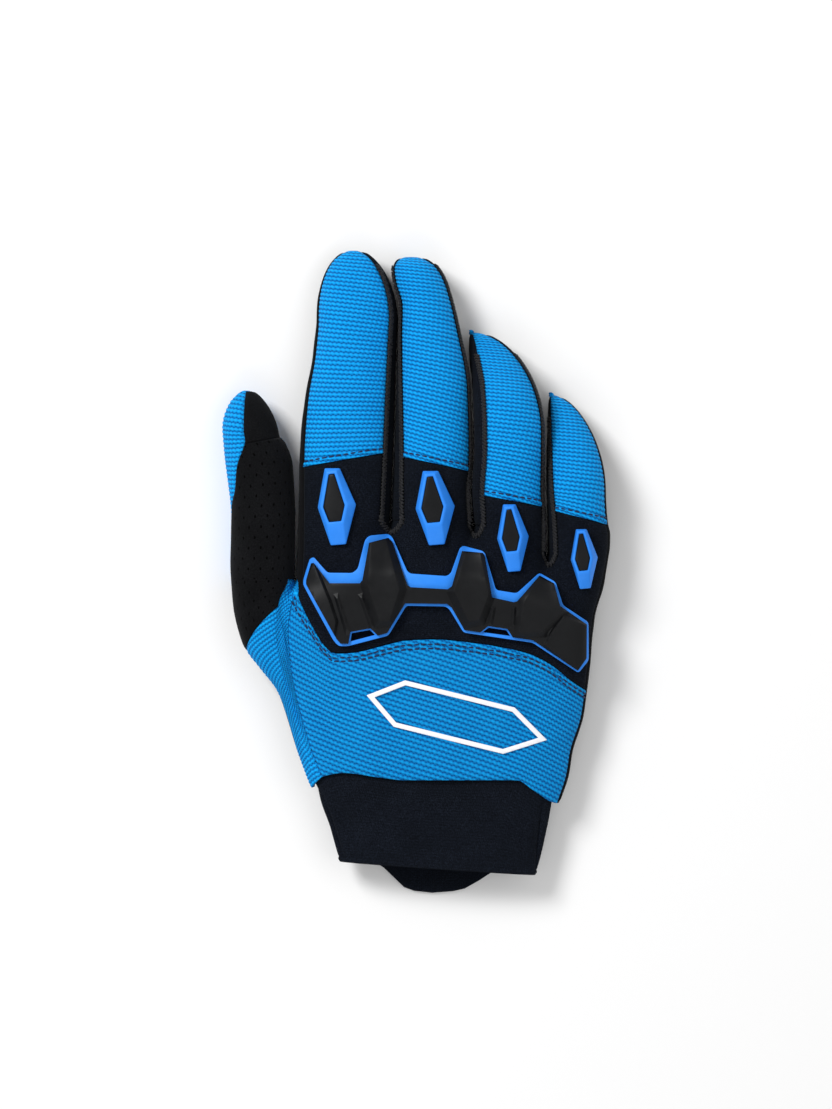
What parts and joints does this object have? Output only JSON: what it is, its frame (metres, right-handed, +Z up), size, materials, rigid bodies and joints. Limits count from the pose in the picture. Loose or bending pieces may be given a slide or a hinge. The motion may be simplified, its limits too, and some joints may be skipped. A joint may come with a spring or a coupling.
{
  "type": "motocross glove",
  "caption": "Right-hand riding glove with ribbed knit back, black palm and cuff, and moulded knuckle and finger guards, lying palm down.",
  "frame": {"origin": "middle of the footprint, on the surface that the palm rests on", "axes": "+Z up out of the back of the hand, +Y toward the fingertips, -X toward the thumb"},
  "size_m": [0.1382, 0.2308, 0.0339],
  "materials": {
    "blue_knit": "ribbed stretch knit in bright azure blue, matt",
    "black_knit": "smooth black stretch knit, matt",
    "black_suede": "black synthetic suede, matt, perforated on the thumb",
    "black_elastic": "black elastic rib and neoprene, matt",
    "blue_rubber": "moulded blue rubber, satin",
    "black_rubber": "moulded black rubber, satin"
  },
  "bodies": {
    "root": {"back_panel": "blue_knit", "index_back": "blue_knit", "middle_back": "blue_knit", "ring_back": "blue_knit", "little_back": "blue_knit", "thumb_back": "blue_knit", "thumb_gusset": "blue_knit", "thumb_web": "blue_knit", "knuckle_panel": "black_knit", "fourchette_index_middle": "black_knit", "fourchette_middle_ring": "black_knit", "fourchette_ring_little": "black_knit", "palm": "black_suede", "thumb_palm": "black_suede", "thumb_tip": "black_suede", "cuff": "black_elastic", "pull_tab": "black_elastic", "knuckle_guard": "blue_rubber", "index_guard": "blue_rubber", "middle_guard": "blue_rubber", "ring_guard": "blue_rubber", "little_guard": "blue_rubber", "knuckle_guard_core": "black_rubber", "index_inlay": "black_rubber", "middle_inlay": "black_rubber", "ring_inlay": "black_rubber", "little_inlay": "black_rubber"}
  },
  "joints": []
}
